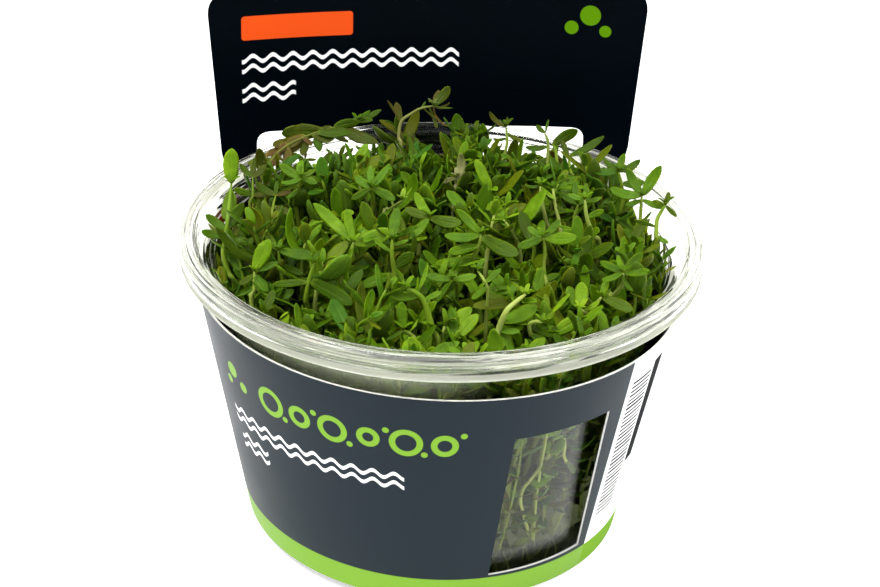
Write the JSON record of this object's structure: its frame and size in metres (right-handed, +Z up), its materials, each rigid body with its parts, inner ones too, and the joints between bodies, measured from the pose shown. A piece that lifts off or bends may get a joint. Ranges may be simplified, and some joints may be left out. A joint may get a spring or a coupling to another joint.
{
  "type": "rotala aquarium plant in a culture cup",
  "caption": "Dense leafy rotala shoots rooted in gel inside a clear, tapered round cup, wrapped in a printed card sleeve whose back stands up as a header.",
  "frame": {"origin": "on the cup's axis at its flat underside", "axes": "+Z up along the cup's axis, -Y the front of the printed sleeve, +Y the side of the header"},
  "size_m": [0.101, 0.1055, 0.0919],
  "materials": {
    "clear_plastic": "clear, glossy moulded plastic",
    "gel": "cloudy translucent culture gel",
    "card": "dark printed card with a silk coating, green foot band and bare white cut edges",
    "leaf": "soft satin green leaves and pale stems"
  },
  "bodies": {
    "root": {"cup": "clear_plastic", "gel": "gel", "sleeve": "card", "shoot_01": "leaf", "shoot_02": "leaf", "shoot_03": "leaf", "shoot_04": "leaf", "shoot_05": "leaf", "shoot_06": "leaf", "shoot_07": "leaf", "shoot_08": "leaf", "shoot_09": "leaf", "shoot_10": "leaf", "shoot_11": "leaf", "shoot_12": "leaf", "shoot_13": "leaf", "shoot_14": "leaf", "shoot_15": "leaf", "shoot_16": "leaf", "shoot_17": "leaf", "shoot_18": "leaf", "shoot_19": "leaf", "shoot_20": "leaf", "shoot_21": "leaf", "shoot_22": "leaf", "shoot_23": "leaf", "shoot_24": "leaf", "shoot_25": "leaf", "shoot_26": "leaf", "shoot_27": "leaf", "shoot_28": "leaf", "shoot_29": "leaf", "shoot_30": "leaf", "shoot_31": "leaf", "shoot_32": "leaf", "shoot_33": "leaf", "shoot_34": "leaf", "shoot_35": "leaf", "shoot_36": "leaf", "shoot_37": "leaf", "shoot_38": "leaf", "shoot_39": "leaf", "shoot_40": "leaf", "shoot_41": "leaf", "shoot_42": "leaf", "shoot_43": "leaf", "shoot_44": "leaf", "shoot_45": "leaf", "shoot_46": "leaf", "shoot_47": "leaf", "shoot_48": "leaf"}
  },
  "joints": []
}
